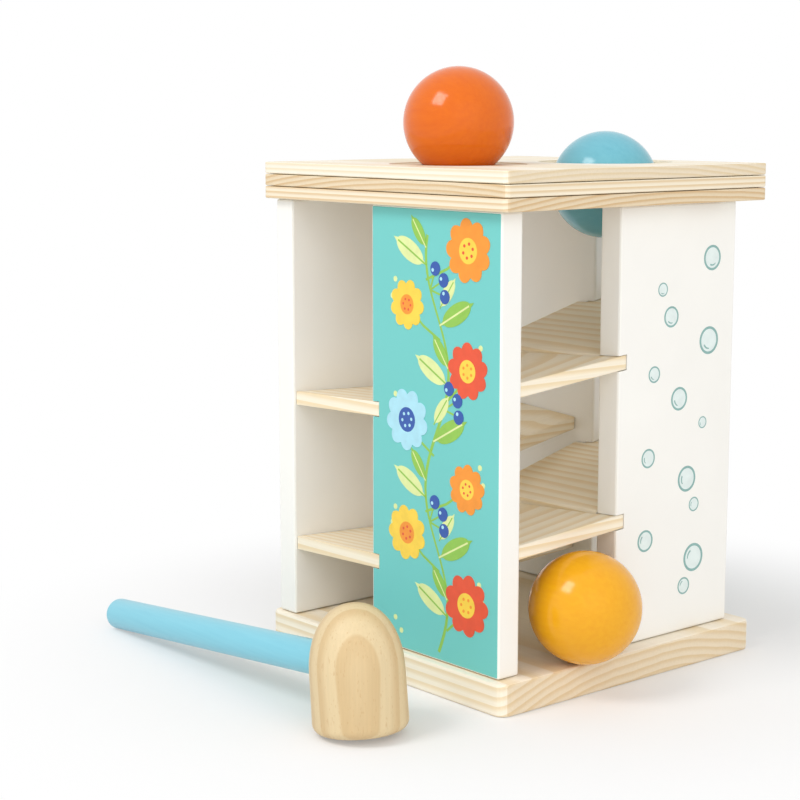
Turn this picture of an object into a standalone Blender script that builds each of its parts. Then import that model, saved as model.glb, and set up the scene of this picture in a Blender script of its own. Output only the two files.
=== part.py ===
"""Pounding ball tower: a wooden toy tower with three balls and a hammer.

A ball is hammered down through an elastic ring in the deck, rolls down a spiral of tilted ramps
inside the four-sided tower and comes out on the base board. Metres, +Z up, origin at the middle of
the base board's underside. The front is -Y, and the ball comes out at +X.
"""

import math

import bmesh
import bpy
from mathutils import Matrix

# Boards of the tower
BASE_SIDE = 0.1540
BASE_THICKNESS = 0.0135
BASE_CORNER_RADIUS = 0.005
PANEL_SQUARE = 0.1425
PANEL_THICKNESS = 0.0115
PANEL_HEIGHT = 0.187
PANEL_SHIFT = (-0.002, -0.002)
DECK_SIDE = 0.1560
DECK_LAYER = 0.0053
DECK_CORNER_RADIUS = 0.0025
BOARD_EDGE_ROUND = 0.0010
DECK_EDGE_ROUND = 0.0005

# Where each panel starts at its free edge and where it ends, along its side from the tower's middle
PANEL_SPANS = {
    "bubble_panel_right": (-0.0025, 0.0702),
    "picture_panel_front": (-0.0065, 0.0725),
    "bubble_panel_left": (0.0025, 0.0725),
    "picture_panel_rear": (0.0025, 0.0712),
}

# Balls, their holes in the deck and the elastic rings that hold them
BALL_DIAMETER = 0.047
HOLE_CLEARANCE = 0.001
RING_LEDGE = 0.005
RING_RECESS = 0.0003
RESTING_BALL_SINK = 0.0060
PUSHED_BALL_CAP = 0.0135
ORANGE_HOLE = (0.002, -0.034)
BLUE_HOLE = (0.020, 0.037)
YELLOW_BALL_PLACE = (0.0755, -0.0290)

# Ramps in the order that a ball meets them. Each row gives the corner of the tower that the ramp
# fills, the height of its outer edge's middle above the base, how steeply that edge falls towards
# the corner and how steeply the board falls inwards, both in degrees.
RAMP_THICKNESS = 0.006
RAMP_TAB = 0.0045
RAMP_SIDE_GAP = 0.0005
RAMP_EDGE_ROUND = 0.0006
RAMPS = (
    ("right_rear", 0.1424, -2.5, 14.5),
    ("right_front", 0.1223, 5.5, 3.5),
    ("left_front", 0.1032, 2.0, 2.5),
    ("left_rear", 0.0806, -10.5, 3.6),
    ("right_rear", 0.0757, -2.5, 14.5),
    ("right_front", 0.0555, 4.0, 3.5),
    ("left_front", 0.0372, 2.0, 2.5),
    ("left_rear", 0.0270, -3.0, 3.6),
)
REACH_PAST_MIDDLE = {
    "right_front": 0.002,
    "left_front": 0.002,
    "left_rear": -0.014,
    "right_rear": 0.002,
}

# Leaning board that turns the ball towards the way out
DEFLECTOR_THICKNESS = 0.006
DEFLECTOR_TOP = 0.031
DEFLECTOR_FRONT = 0.048
DEFLECTOR_SIDE_FALL_DEG = 27.0
DEFLECTOR_INWARD_FALL_DEG = 18.0

# Fasteners
SCREW_DIAMETER = 0.004
SCREW_HEAD_DIAMETER = 0.008
SCREW_HEAD_HEIGHT = 0.0025
SCREW_LENGTH = 0.034
SCREW_SINK = 0.0005
SCREW_SLOT_WIDTH = 0.0012
SCREW_SLOT_LENGTH = 0.0044
SCREW_SLOT_DEPTH = 0.0018
DOWEL_DIAMETER = 0.006
DOWEL_IN_PANEL = 0.014
DOWEL_IN_DECK = 0.0085
FASTENER_INSET = 0.013

# Hammer, standing on its striking face with the handle's end on the table
HAMMER_FACE_DIAMETER = 0.038
HAMMER_HEAD_HEIGHT = 0.050
HAMMER_SHOULDER_DIAMETER = 0.0375
HAMMER_SHOULDER_HEIGHT = 0.024
HAMMER_FACE_ROUND = 0.0040
HANDLE_DIAMETER = 0.014
HANDLE_HEIGHT = 0.025
HANDLE_REACH = 0.190
HANDLE_SOCKET_PAST_AXIS = 0.005
HANDLE_END_ROUND = 0.003
HAMMER_PLACE = (0.0537, -0.1302)
HAMMER_TURN_DEG = -2.6

# Shared clearances and facets
GAP = 0.0003
CUT_PAST = 0.002
ROUND_STEPS = 40
SMALL_STEPS = 12

BALL_RADIUS = BALL_DIAMETER / 2
HOLE_RADIUS = BALL_RADIUS + HOLE_CLEARANCE
SEAT_RADIUS = HOLE_RADIUS + RING_LEDGE
PANEL_OUTER = PANEL_SQUARE / 2
PANEL_INNER = PANEL_OUTER - PANEL_THICKNESS
BASE_TOP = BASE_THICKNESS
PANEL_BOTTOM = BASE_TOP + GAP
PANEL_TOP = PANEL_BOTTOM + PANEL_HEIGHT
DECK_BOTTOM = PANEL_TOP + GAP
DECK_TOP = DECK_BOTTOM + 3 * DECK_LAYER

# Corners in the order of quarter turns clockwise from above, starting where the bay opens to +X
CORNERS = ("right_front", "left_front", "left_rear", "right_rear")
PANEL_NAMES = tuple(PANEL_SPANS)

# Colours as linear RGB, with roughness
PINE = ((0.74, 0.55, 0.33), 0.55)
PLYWOOD = ((0.70, 0.52, 0.32), 0.55)
WHITE_PAINT = ((0.86, 0.84, 0.78), 0.45)
TEAL_PRINT = ((0.13, 0.52, 0.50), 0.45)
LATEX = ((0.72, 0.64, 0.48), 0.70)
ORANGE_LACQUER = ((0.83, 0.15, 0.01), 0.18)
BLUE_LACQUER = ((0.12, 0.52, 0.69), 0.18)
YELLOW_LACQUER = ((0.90, 0.45, 0.02), 0.18)
BLUE_PAINT = ((0.08, 0.46, 0.63), 0.30)
BEECH = ((0.62, 0.42, 0.24), 0.50)
ZINC = ((0.60, 0.60, 0.58), 0.35)


def clear_scene():
    for item in list(bpy.data.objects):
        bpy.data.objects.remove(item, do_unlink=True)


def material(name, look, metallic=0.0):
    colour, roughness = look
    made = bpy.data.materials.new(name)
    made.use_nodes = True
    shader = made.node_tree.nodes["Principled BSDF"]
    shader.inputs["Base Color"].default_value = (*colour, 1.0)
    shader.inputs["Roughness"].default_value = roughness
    shader.inputs["Metallic"].default_value = metallic
    return made


def add_object(name, shape):
    """A new object that holds the bmesh given."""
    mesh = bpy.data.meshes.new(name)
    shape.to_mesh(mesh)
    shape.free()
    made = bpy.data.objects.new(name, mesh)
    bpy.context.scene.collection.objects.link(made)
    return made


def add_piece(name, shape, look, metallic=0.0):
    piece = add_object(name, shape)
    piece.data.materials.append(material(name + "_finish", look, metallic))
    return piece


def smooth(piece, sharp_deg=35.0):
    piece.data.shade_smooth()
    piece.data.set_sharp_from_angle(angle=math.radians(sharp_deg))


def round_edges(piece, width):
    bevel = piece.modifiers.new("rounded edges", "BEVEL")
    bevel.width = width
    bevel.segments = 2
    bevel.limit_method = "ANGLE"
    bevel.angle_limit = math.radians(40)


def cut(piece, cutter_shape):
    cutter = add_object(piece.name + "_cutter", cutter_shape)
    cutter.hide_render = True
    cutter.display_type = "WIRE"
    boolean = piece.modifiers.new("cut", "BOOLEAN")
    boolean.operation = "DIFFERENCE"
    boolean.object = cutter


def quarter_turned(point, corner):
    """A plan point of the right front corner, turned to another corner."""
    x, y = point
    return ((x, y), (y, -x), (-x, -y), (-y, x))[corner]


def add_prism(shape, outline, bottom, top):
    """A solid over an anticlockwise plan outline, between two heights given as functions of x and y."""
    lower = [shape.verts.new((x, y, bottom(x, y))) for x, y in outline]
    upper = [shape.verts.new((x, y, top(x, y))) for x, y in outline]
    shape.faces.new(list(reversed(lower)))
    shape.faces.new(upper)
    for i in range(len(outline)):
        j = (i + 1) % len(outline)
        shape.faces.new((lower[i], lower[j], upper[j], upper[i]))


def prism(outline, bottom, top):
    shape = bmesh.new()
    add_prism(shape, outline, bottom, top)
    return shape


def level(z):
    return lambda x, y: z


def rectangle(x0, y0, x1, y1):
    return [(x0, y0), (x1, y0), (x1, y1), (x0, y1)]


def circle(centre, radius, steps):
    turns = [2 * math.pi * i / steps for i in range(steps)]
    return [(centre[0] + radius * math.cos(a), centre[1] + radius * math.sin(a)) for a in turns]


def rounded_square(side, radius, steps=5):
    """Anticlockwise outline of a square about the origin with arcs for corners."""
    reach = side / 2 - radius
    points = []
    for corner, (sx, sy) in enumerate(((1, 1), (-1, 1), (-1, -1), (1, -1))):
        for i in range(steps + 1):
            angle = math.pi / 2 * (corner + i / steps)
            x = sx * reach + radius * math.cos(angle)
            y = sy * reach + radius * math.sin(angle)
            points.append((x, y))
    return points


def turned(profile, steps, closed=False):
    """A solid of revolution about Z from points (radius, height)."""
    shape = bmesh.new()
    points = [shape.verts.new((r, 0, z)) for r, z in profile]
    pairs = list(zip(points, points[1:]))
    if closed:
        pairs.append((points[-1], points[0]))
    edges = [shape.edges.new(pair) for pair in pairs]
    bmesh.ops.spin(
        shape,
        geom=points + edges,
        cent=(0, 0, 0),
        axis=(0, 0, 1),
        angle=2 * math.pi,
        steps=steps,
        use_merge=True,
    )
    bmesh.ops.remove_doubles(shape, verts=shape.verts, dist=1e-6)
    bmesh.ops.recalc_face_normals(shape, faces=shape.faces)
    return shape


def merge_into(shape, other, move):
    """Adds another bmesh, moved by a matrix, to a bmesh."""
    other.transform(move)
    mesh = bpy.data.meshes.new("joined")
    other.to_mesh(mesh)
    other.free()
    shape.from_mesh(mesh)
    bpy.data.meshes.remove(mesh)


def panel_edge(corner):
    """Where the panel of a side starts, seen in the right front corner's frame."""
    return PANEL_SPANS[PANEL_NAMES[corner]][0]


def panel_end(corner):
    """Where that panel ends."""
    return PANEL_SPANS[PANEL_NAMES[corner]][1]


def fastener_places(corner):
    """Plan points on a panel's middle line where its two screws and two dowels sit."""
    middle = PANEL_OUTER - PANEL_THICKNESS / 2
    ends = (panel_edge(corner) + FASTENER_INSET, panel_end(corner) - FASTENER_INSET)
    places = [quarter_turned((middle, end), corner) for end in ends]
    return [(x + PANEL_SHIFT[0], y + PANEL_SHIFT[1]) for x, y in places]


def all_fastener_places():
    return [place for corner in range(4) for place in fastener_places(corner)]


def screw_profile(grow):
    """Countersunk screw, head down at height 0, its surface moved out by a clearance."""
    head = SCREW_HEAD_DIAMETER / 2 + grow
    shank = SCREW_DIAMETER / 2 + grow
    return [
        (0, -grow),
        (head, -grow),
        (shank, SCREW_HEAD_HEIGHT + grow),
        (shank, SCREW_LENGTH - SCREW_DIAMETER),
        (0, SCREW_LENGTH + 2 * grow),
    ]


def screw_cutters():
    """Screw-shaped space under every panel, open below the base."""
    shape = bmesh.new()
    mouth = SCREW_HEAD_DIAMETER / 2 + GAP
    below = -SCREW_SINK - CUT_PAST
    profile = [(0, below), (mouth, below)] + screw_profile(GAP)[1:]
    for x, y in all_fastener_places():
        merge_into(shape, turned(profile, SMALL_STEPS), Matrix.Translation((x, y, SCREW_SINK)))
    return shape


def screw_slot_outline():
    """Anticlockwise plan of the cross recess in a screw's head."""
    near = SCREW_SLOT_WIDTH / 2
    far = SCREW_SLOT_LENGTH / 2
    arm = ((far, -near), (far, near), (near, near))
    turns = ((1, 0), (0, 1), (-1, 0), (0, -1))
    return [(x * c - y * s, x * s + y * c) for c, s in turns for x, y in arm]


def add_screws():
    for number, (x, y) in enumerate(all_fastener_places(), start=1):
        shape = turned(screw_profile(0.0), SMALL_STEPS)
        screw = add_piece(f"base_screw_{number}", shape, ZINC, metallic=1.0)
        screw.location = (x, y, SCREW_SINK)
        slot = prism(screw_slot_outline(), level(-CUT_PAST), level(SCREW_SLOT_DEPTH))
        cut(screw, slot)
        screw.modifiers["cut"].object.parent = screw


def dowel_cutters():
    """Dowel-shaped space from every panel's top into the deck."""
    shape = bmesh.new()
    for place in all_fastener_places():
        outline = circle(place, DOWEL_DIAMETER / 2 + GAP, SMALL_STEPS)
        bottom = PANEL_TOP - DOWEL_IN_PANEL - GAP
        add_prism(shape, outline, level(bottom), level(DECK_BOTTOM + DOWEL_IN_DECK + GAP))
    return shape


def add_dowels():
    for number, place in enumerate(all_fastener_places(), start=1):
        outline = circle(place, DOWEL_DIAMETER / 2, SMALL_STEPS)
        bottom = PANEL_TOP - DOWEL_IN_PANEL
        shape = prism(outline, level(bottom), level(DECK_BOTTOM + DOWEL_IN_DECK))
        add_piece(f"deck_dowel_{number}", shape, BEECH)


def add_base():
    outline = rounded_square(BASE_SIDE, BASE_CORNER_RADIUS)
    base = add_piece("base_board", prism(outline, level(0.0), level(BASE_TOP)), PINE)
    round_edges(base, BOARD_EDGE_ROUND)
    cut(base, screw_cutters())


def ramp_plane(ramp, lift):
    """Height of a ramp's top, in the right front corner's frame, moved out of the board by lift."""
    corner, height, edge_fall_deg, inward_fall_deg = ramp
    edge_fall = math.tan(math.radians(edge_fall_deg))
    inward_fall = math.tan(math.radians(inward_fall_deg))
    bay_middle = (panel_edge(CORNERS.index(corner)) - PANEL_INNER) / 2
    slant = math.sqrt(1 + edge_fall**2 + inward_fall**2)

    def top(x, y):
        rise = (y - bay_middle) * edge_fall - (PANEL_OUTER - x) * inward_fall
        return BASE_TOP + height + rise + lift * slant

    return top


def ramp_outline(corner):
    """Plan of a ramp in the right front corner's frame: a board with a tab into its panel's notch."""
    edge = panel_edge(corner)
    tab_end = edge + RAMP_TAB
    low_end = -REACH_PAST_MIDDLE[CORNERS[corner]]
    neighbour = CORNERS[(corner - 1) % len(CORNERS)]
    inner_edge = max(-REACH_PAST_MIDDLE[neighbour] - RAMP_SIDE_GAP, edge)
    step = PANEL_INNER + GAP if tab_end > inner_edge else PANEL_INNER - GAP
    return [
        (low_end, -PANEL_INNER + GAP),
        (PANEL_OUTER, -PANEL_INNER + GAP),
        (PANEL_OUTER, tab_end),
        (step, tab_end),
        (step, inner_edge),
        (low_end, inner_edge),
    ]


def turned_prism(shape, outline, bottom, top, corner):
    """A prism drawn in the right front corner's frame, turned to its own corner and set in place."""
    part = prism(outline, bottom, top)
    turn = Matrix.Rotation(-math.pi / 2 * corner, 4, "Z")
    merge_into(shape, part, Matrix.Translation((*PANEL_SHIFT, 0.0)) @ turn)


def add_ramps():
    for number, ramp in enumerate(RAMPS, start=1):
        corner = CORNERS.index(ramp[0])
        shape = bmesh.new()
        top = ramp_plane(ramp, 0.0)
        bottom = ramp_plane(ramp, -RAMP_THICKNESS)
        turned_prism(shape, ramp_outline(corner), bottom, top, corner)
        board = add_piece(f"ramp_{number}_{ramp[0]}", shape, PINE)
        round_edges(board, RAMP_EDGE_ROUND)


def notch_cutters(shape, corner):
    """The slots in a panel's free edge that take the tabs of its ramps."""
    edge = panel_edge(corner)
    outline = rectangle(
        PANEL_INNER - CUT_PAST,
        edge - CUT_PAST,
        PANEL_OUTER + CUT_PAST,
        edge + RAMP_TAB + GAP,
    )
    for ramp in RAMPS:
        if ramp[0] == CORNERS[corner]:
            top = ramp_plane(ramp, GAP)
            bottom = ramp_plane(ramp, -RAMP_THICKNESS - GAP)
            turned_prism(shape, outline, bottom, top, corner)


def add_panels():
    for corner, name in enumerate(PANEL_NAMES):
        shape = bmesh.new()
        outline = rectangle(PANEL_INNER, panel_edge(corner), PANEL_OUTER, panel_end(corner))
        turned_prism(shape, outline, level(PANEL_BOTTOM), level(PANEL_TOP), corner)
        look = TEAL_PRINT if name.startswith("picture") else WHITE_PAINT
        panel = add_piece(name, shape, look)
        round_edges(panel, BOARD_EDGE_ROUND)
        cutters = bmesh.new()
        notch_cutters(cutters, corner)
        merge_into(cutters, screw_cutters(), Matrix.Identity(4))
        merge_into(cutters, dowel_cutters(), Matrix.Identity(4))
        cut(panel, cutters)


def add_deflector():
    side_fall = math.tan(math.radians(DEFLECTOR_SIDE_FALL_DEG))
    inward_fall = math.tan(math.radians(DEFLECTOR_INWARD_FALL_DEG))
    slant = math.sqrt(1 + side_fall**2 + inward_fall**2)
    wall = PANEL_INNER - GAP
    back = -REACH_PAST_MIDDLE["right_rear"]

    def top(x, y):
        return BASE_TOP + DEFLECTOR_TOP - (wall - x) * side_fall - (DEFLECTOR_FRONT - y) * inward_fall

    def bottom(x, y):
        return top(x, y) - DEFLECTOR_THICKNESS * slant

    toe = wall - DEFLECTOR_TOP / side_fall
    shape = prism(rectangle(toe - CUT_PAST, back, wall, DEFLECTOR_FRONT), bottom, top)
    floor = bmesh.ops.bisect_plane(
        shape,
        geom=shape.verts[:] + shape.edges[:] + shape.faces[:],
        plane_co=(0, 0, BASE_TOP + GAP),
        plane_no=(0, 0, -1),
        clear_outer=True,
    )
    rim = [item for item in floor["geom_cut"] if isinstance(item, bmesh.types.BMEdge)]
    bmesh.ops.contextual_create(shape, geom=rim)
    bmesh.ops.recalc_face_normals(shape, faces=shape.faces)
    shape.transform(Matrix.Translation((*PANEL_SHIFT, 0.0)))
    add_piece("exit_deflector", shape, PINE)


def add_deck():
    outline = rounded_square(DECK_SIDE, DECK_CORNER_RADIUS)
    radii = {
        "deck_bottom_layer": HOLE_RADIUS,
        "deck_middle_layer": HOLE_RADIUS,
        "deck_top_layer": SEAT_RADIUS,
    }
    for number, (name, radius) in enumerate(radii.items()):
        bottom = DECK_BOTTOM + number * DECK_LAYER + (GAP if number else 0.0)
        top = DECK_BOTTOM + (number + 1) * DECK_LAYER
        layer = add_piece(name, prism(outline, level(bottom), level(top)), PLYWOOD)
        round_edges(layer, DECK_EDGE_ROUND)
        cutters = bmesh.new()
        for hole in (ORANGE_HOLE, BLUE_HOLE):
            rim = circle(hole, radius, ROUND_STEPS)
            add_prism(cutters, rim, level(bottom - CUT_PAST), level(top + CUT_PAST))
        if name != "deck_top_layer":
            merge_into(cutters, dowel_cutters(), Matrix.Identity(4))
        cut(layer, cutters)


def ball_slice(height):
    """Radius of a ball where a level plane cuts it, at a height above or below its centre."""
    return math.sqrt(max(BALL_RADIUS**2 - height**2, 0.0))


def add_ring(name, hole, ball_height):
    """Elastic ring in its seat, relaxed or stretched to clear the ball that passes it."""
    bottom = DECK_TOP - DECK_LAYER + GAP
    top = DECK_TOP - RING_RECESS
    rest = ball_slice(BALL_RADIUS - RESTING_BALL_SINK + RING_RECESS)
    relaxed = rest + GAP * BALL_RADIUS / rest
    outer = SEAT_RADIUS - GAP
    levels = 4
    lip = []
    for i in range(levels + 1):
        z = bottom + (top - bottom) * i / levels
        ball = ball_slice(z - ball_height)
        clear = ball + GAP * BALL_RADIUS / ball if z > ball_height else 0.0
        lip.append((max(relaxed, clear), z))
    profile = lip + [(outer, top), (outer, bottom)]
    ring = add_piece(name, turned(profile, ROUND_STEPS, closed=True), LATEX)
    ring.location = (*hole, 0.0)
    smooth(ring)


def add_ball(name, look, centre):
    shape = bmesh.new()
    bmesh.ops.create_icosphere(shape, subdivisions=4, radius=BALL_RADIUS)
    ball = add_piece(name, shape, look)
    ball.location = centre
    smooth(ball, sharp_deg=60.0)


def add_balls_and_rings():
    orange_height = DECK_TOP - RESTING_BALL_SINK + BALL_RADIUS
    blue_height = DECK_TOP + PUSHED_BALL_CAP - BALL_RADIUS
    add_ring("orange_ball_ring", ORANGE_HOLE, orange_height)
    add_ring("blue_ball_ring", BLUE_HOLE, blue_height)
    add_ball("orange_ball", ORANGE_LACQUER, (*ORANGE_HOLE, orange_height))
    add_ball("blue_ball", BLUE_LACQUER, (*BLUE_HOLE, blue_height))
    add_ball("yellow_ball", YELLOW_LACQUER, (*YELLOW_BALL_PLACE, BASE_TOP + BALL_RADIUS + GAP))


def hammer_head_profile():
    """Flat striking face with a rounded rim, a nearly straight side and a domed top."""
    face = HAMMER_FACE_DIAMETER / 2
    shoulder = HAMMER_SHOULDER_DIAMETER / 2
    dome_height = HAMMER_HEAD_HEIGHT - HAMMER_SHOULDER_HEIGHT
    points = [(0, 0)]
    rim_steps = 4
    for i in range(rim_steps + 1):
        angle = math.pi / 2 * i / rim_steps
        radius = face - HAMMER_FACE_ROUND * (1 - math.sin(angle))
        points.append((radius, HAMMER_FACE_ROUND * (1 - math.cos(angle))))
    dome_steps = 9
    for i in range(dome_steps + 1):
        angle = math.pi / 2 * i / dome_steps
        radius = shoulder * math.cos(angle) ** 0.9 if i < dome_steps else 0
        points.append((radius, HAMMER_SHOULDER_HEIGHT + dome_height * math.sin(angle)))
    return points


def add_hammer():
    """Head and handle in the hammer's own frame, tipped until the handle's end meets the table."""
    face_edge = HAMMER_FACE_DIAMETER / 2 - HAMMER_FACE_ROUND
    handle_radius = HANDLE_DIAMETER / 2
    handle_low = HANDLE_HEIGHT - handle_radius
    tip = math.atan2(handle_low, HANDLE_REACH - HANDLE_END_ROUND - face_edge)
    turn = math.radians(HAMMER_TURN_DEG)

    place = bpy.data.objects.new("hammer_place", None)
    bpy.context.scene.collection.objects.link(place)
    place.location = (
        HAMMER_PLACE[0] - face_edge * math.cos(turn),
        HAMMER_PLACE[1] - face_edge * math.sin(turn),
        0.0,
    )
    place.rotation_euler = (0.0, -tip, turn)

    head = add_piece("hammer_head", turned(hammer_head_profile(), ROUND_STEPS), BEECH)
    socket = prism(
        circle((0, 0), handle_radius + GAP, ROUND_STEPS // 2),
        level(-HANDLE_SOCKET_PAST_AXIS - GAP),
        level(HAMMER_FACE_DIAMETER),
    )
    along_handle = Matrix.Translation((0, 0, HANDLE_HEIGHT)) @ Matrix.Rotation(-math.pi / 2, 4, "Y")
    socket.transform(along_handle)
    cut(head, socket)
    head.modifiers["cut"].object.parent = head
    smooth(head, sharp_deg=40.0)

    end = HANDLE_REACH
    inner_end = -HANDLE_SOCKET_PAST_AXIS
    round_steps = 3
    profile = [(0, inner_end), (handle_radius, inner_end)]
    for i in range(round_steps + 1):
        angle = math.pi / 2 * i / round_steps
        radius = handle_radius - HANDLE_END_ROUND + HANDLE_END_ROUND * math.cos(angle)
        profile.append((radius, end - HANDLE_END_ROUND + HANDLE_END_ROUND * math.sin(angle)))
    profile.append((0, end))
    handle_shape = turned(profile, ROUND_STEPS // 2)
    handle_shape.transform(along_handle)
    handle = add_piece("hammer_handle", handle_shape, BLUE_PAINT)
    smooth(handle)

    for piece in (head, handle):
        piece.parent = place
        piece.location = (face_edge, 0.0, 0.0)


def build():
    clear_scene()
    add_base()
    add_panels()
    add_ramps()
    add_deflector()
    add_deck()
    add_screws()
    add_dowels()
    add_balls_and_rings()
    add_hammer()


build()
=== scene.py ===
"""Looks of a wooden pounding ball tower, in the order in which it is put together.

The boards keep their CAD solids and get their woods and paints here. The prints, elastic rings, balls
and hammer are modelled here. Metres, +Z up, in the CAD model's frame.
"""

import math

import bpy
from mathutils import Matrix, Vector


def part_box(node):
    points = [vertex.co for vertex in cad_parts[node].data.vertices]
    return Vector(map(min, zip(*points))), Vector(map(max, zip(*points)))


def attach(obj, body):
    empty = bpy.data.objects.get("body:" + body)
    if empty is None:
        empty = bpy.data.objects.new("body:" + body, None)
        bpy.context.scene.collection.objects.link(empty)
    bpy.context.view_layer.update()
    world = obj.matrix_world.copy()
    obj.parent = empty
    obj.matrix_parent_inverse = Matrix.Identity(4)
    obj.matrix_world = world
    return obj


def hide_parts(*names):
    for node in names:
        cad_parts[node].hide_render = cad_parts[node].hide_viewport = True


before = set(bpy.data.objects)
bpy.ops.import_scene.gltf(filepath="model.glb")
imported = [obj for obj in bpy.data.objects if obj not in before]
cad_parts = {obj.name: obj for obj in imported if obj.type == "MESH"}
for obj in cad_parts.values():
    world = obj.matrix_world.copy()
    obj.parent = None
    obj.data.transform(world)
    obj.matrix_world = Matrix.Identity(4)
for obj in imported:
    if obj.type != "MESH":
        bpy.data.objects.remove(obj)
bpy.ops.object.select_all(action="DESELECT")
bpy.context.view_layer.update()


# Base board
# One planed pine board with softened edges, sanded and sealed with a clear matt lacquer.
# The four upright panels stand on it and are screwed to it from below.

MM = 0.001
PALE_PINE = "#F5EBD8"
DARK_PINE = "#EBD8B5"
END_GRAIN_TONE = "#F1E9DD"
END_GRAIN_DEPTH = 0.4
FIBRE_WIDTH = 0.9
DRIFT_WIDTH = 28
ALONG_X, ALONG_Y = (0, 0, 0), (0, 0, -90)


def srgb(code):
    """Linear colour, with alpha, of an sRGB hex value."""
    parts = [int(code[i : i + 2], 16) / 255 for i in (1, 3, 5)]
    return (*[c / 12.92 if c <= 0.04045 else ((c + 0.055) / 1.055) ** 2.4 for c in parts], 1.0)


def add(tree, kind, sockets=None, **settings):
    """Adds a node with its settings, and with a value or a link for each socket named."""
    node = tree.nodes.new(kind)
    for name, value in settings.items():
        setattr(node, name, value)
    for socket, value in (sockets or {}).items():
        if isinstance(value, bpy.types.NodeSocket):
            tree.links.new(value, node.inputs[socket])
        else:
            node.inputs[socket].default_value = value
    return node


def new_finish(name):
    finish = bpy.data.materials.new(name)
    finish.use_nodes = True
    return finish, finish.node_tree, finish.node_tree.nodes["Principled BSDF"]


def sanded_wood(name, pale, dark, turn, heart, ring, wander=5, half_length=None):
    """Planed softwood under a clear matt seal, so the eye sees growth rings and fine fibres.

    turn is in degrees and lays the grain along X. heart shifts the middle of the tree off the board,
    ring is the width of a year's growth and wander is how far the rings stray, all in mm. A board that
    has a half_length, in mm from its middle, shows end grain there, which drinks lacquer and is darker.
    """
    finish, tree, shader = new_finish(name)
    place = add(tree, "ShaderNodeTexCoord").outputs["Object"]
    grain = add(
        tree,
        "ShaderNodeMapping",
        {
            "Vector": place,
            "Location": heart,
            "Rotation": [math.radians(angle) for angle in turn],
            "Scale": (1 / MM, 1 / MM, 1 / MM),
        },
    ).outputs[0]
    # The rings wander by a few mm over a length of about 400 mm, as a trunk does.
    drawn_out = add(tree, "ShaderNodeVectorMath", {0: grain, 1: (0.07, 1, 1)}, operation="MULTIPLY")
    drift = add(
        tree,
        "ShaderNodeTexNoise",
        {"Vector": drawn_out.outputs[0], "Scale": 1 / DRIFT_WIDTH, "Detail": 2},
    )
    wandering = add(
        tree,
        "ShaderNodeVectorMath",
        {0: drift.outputs["Color"], 1: (0, wander, wander), 2: grain},
        operation="MULTIPLY_ADD",
    )
    across = add(
        tree,
        "ShaderNodeVectorMath",
        {0: wandering.outputs[0], 1: (0, 1, 1)},
        operation="MULTIPLY",
    )
    radius = add(tree, "ShaderNodeVectorMath", {0: across.outputs[0]}, operation="LENGTH")
    years = add(tree, "ShaderNodeMath", {0: radius.outputs["Value"], 1: ring}, operation="DIVIDE")
    season = add(tree, "ShaderNodeMath", {0: years.outputs[0]}, operation="FRACT")
    darkening = add(
        tree,
        "ShaderNodeMapRange",
        {"Value": season.outputs[0], "From Min": 0.2, "From Max": 0.88},
        interpolation_type="SMOOTHERSTEP",
    )
    year_end = add(
        tree,
        "ShaderNodeMapRange",
        {"Value": season.outputs[0], "From Min": 0.9, "From Max": 1.0, "To Min": 1.0, "To Max": 0.0},
        interpolation_type="SMOOTHSTEP",
    )
    late_wood = add(
        tree,
        "ShaderNodeMath",
        {0: darkening.outputs[0], 1: year_end.outputs[0]},
        operation="MULTIPLY",
    )
    # Real fibres are 0.05 mm wide. They are drawn wider, so that they show in the render.
    along = add(tree, "ShaderNodeVectorMath", {0: grain, 1: (0.02, 1, 1)}, operation="MULTIPLY")
    fibres = add(
        tree,
        "ShaderNodeTexNoise",
        {"Vector": along.outputs[0], "Scale": 1 / FIBRE_WIDTH, "Detail": 4, "Roughness": 0.65},
    )
    shade = add(
        tree,
        "ShaderNodeMapRange",
        {"Value": fibres.outputs["Fac"], "From Min": 0.3, "From Max": 0.7, "To Min": 0.955, "To Max": 1.02},
    )
    rings = add(
        tree,
        "ShaderNodeMix",
        {0: late_wood.outputs[0], 6: srgb(pale), 7: srgb(dark)},
        data_type="RGBA",
    )
    colour = add(
        tree,
        "ShaderNodeMix",
        {0: 1.0, 6: rings.outputs[2], 7: shade.outputs[0]},
        data_type="RGBA",
        blend_type="MULTIPLY",
    )
    if half_length:
        length_way = add(tree, "ShaderNodeSeparateXYZ", {"Vector": grain}).outputs["X"]
        off_middle = add(tree, "ShaderNodeMath", {0: length_way}, operation="ABSOLUTE").outputs[0]
        limit = half_length - END_GRAIN_DEPTH
        end_grain = add(tree, "ShaderNodeMath", {0: off_middle, 1: limit}, operation="GREATER_THAN")
        colour = add(
            tree,
            "ShaderNodeMix",
            {0: end_grain.outputs[0], 6: colour.outputs[2], 7: srgb(END_GRAIN_TONE)},
            data_type="RGBA",
            blend_type="MULTIPLY",
        )
    gloss = add(tree, "ShaderNodeMapRange", {"Value": late_wood.outputs[0], "To Min": 0.56, "To Max": 0.44})
    relief = add(
        tree,
        "ShaderNodeMath",
        {0: late_wood.outputs[0], 1: fibres.outputs["Fac"]},
        operation="ADD",
    )
    bump = add(
        tree,
        "ShaderNodeBump",
        {"Height": relief.outputs[0], "Distance": 0.03 * MM, "Strength": 0.6},
    )
    tree.links.new(colour.outputs[2], shader.inputs["Base Color"])
    tree.links.new(gloss.outputs[0], shader.inputs["Roughness"])
    tree.links.new(bump.outputs[0], shader.inputs["Normal"])
    return finish


def dress(node, finish):
    """Gives a CAD solid its finish."""
    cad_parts[node].material_slots[0].material = finish


BASE_HEART = (0, -12, 230)
base_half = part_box("base_board")[1].x / MM
base_pine = sanded_wood(
    "base_pine", PALE_PINE, DARK_PINE, ALONG_X, BASE_HEART, ring=3.6, wander=3, half_length=base_half
)
dress("base_board", base_pine)


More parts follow.
